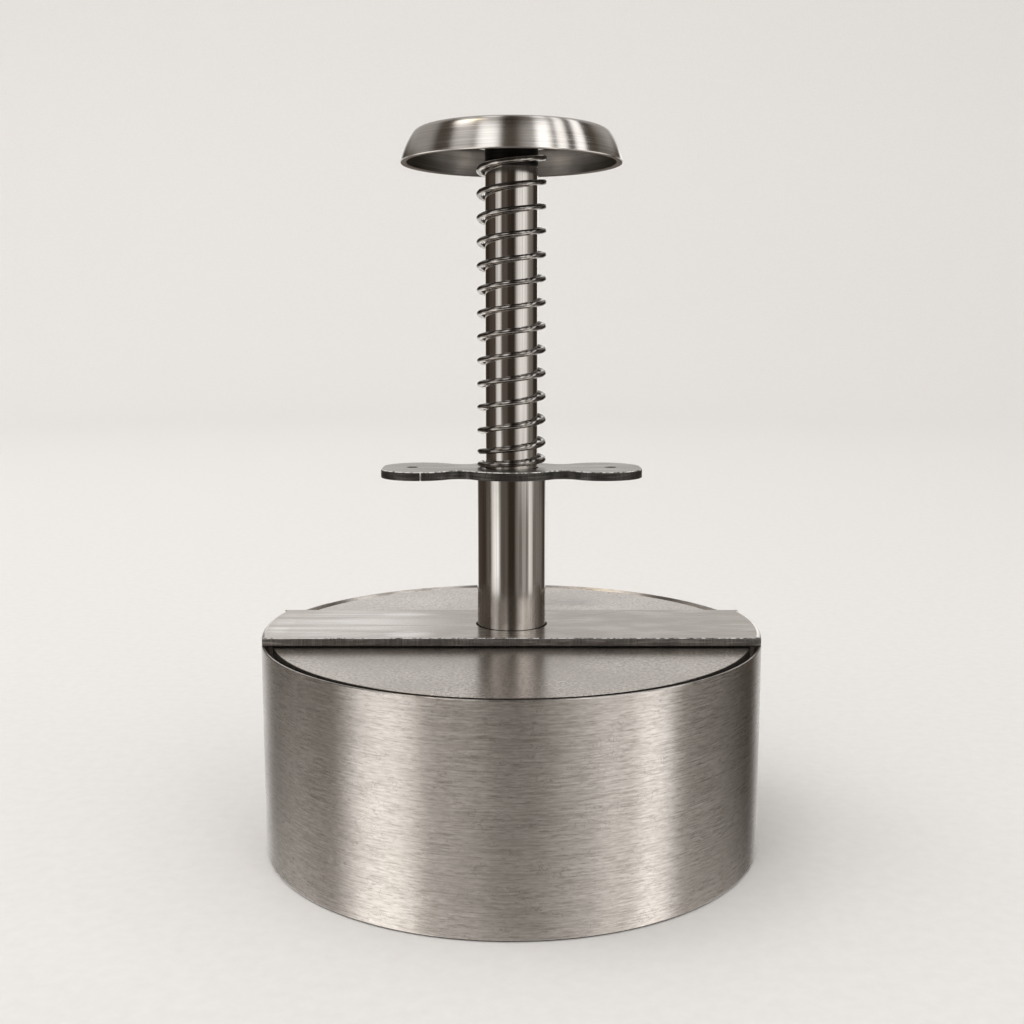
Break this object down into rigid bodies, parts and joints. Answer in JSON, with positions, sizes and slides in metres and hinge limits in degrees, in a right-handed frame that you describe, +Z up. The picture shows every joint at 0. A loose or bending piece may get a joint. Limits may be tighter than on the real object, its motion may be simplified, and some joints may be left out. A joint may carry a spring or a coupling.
{
  "type": "burger press",
  "caption": "Hand burger press: a steel mould ring with a bridge plate, guide tube and finger plate, and a spring-returned plunger with a press disc and a dish-shaped knob.",
  "frame": {"origin": "centre of the ring's lower edge, on the table", "axes": "+Z up along the plunger rod, +X to the right along the bridge plate and the finger plate, -Y towards the viewer"},
  "size_m": [0.116, 0.116, 0.1638],
  "materials": {
    "brushed_plate": "fine brushed stainless sheet",
    "polished_steel": "polished stainless tube, bar and spun dish",
    "spring_wire": "drawn stainless spring wire",
    "screw_steel": "plain turned stainless",
    "bush_plastic": "natural acetal"
  },
  "bodies": {
    "frame": {"mould_ring": "brushed_plate", "bridge_plate": "brushed_plate", "guide_tube": "polished_steel", "lower_bush": "bush_plastic", "upper_bush": "bush_plastic", "finger_plate": "brushed_plate", "return_spring": "spring_wire"},
    "spring_seat": {"spring_washer": "brushed_plate"},
    "plunger": {"plunger_rod": "polished_steel", "stop_shim": "brushed_plate", "press_disc": "brushed_plate", "disc_screw": "screw_steel", "knob": "polished_steel", "knob_boss": "screw_steel", "knob_stud": "screw_steel"}
  },
  "joints": [
    {"name": "plunger_slide", "type": "slide", "parent": "frame", "child": "spring_seat", "axis": [0, 0, -1], "range_m": [0, 0.045], "stiffness_N_per_m": 670, "springref_m": -0.012, "deforming": ["return_spring"]},
    {"name": "plunger_spin", "type": "hinge", "parent": "spring_seat", "child": "plunger", "pos_m": [0, 0, 0.1], "axis": [0, 0, 1], "continuous": true}
  ]
}
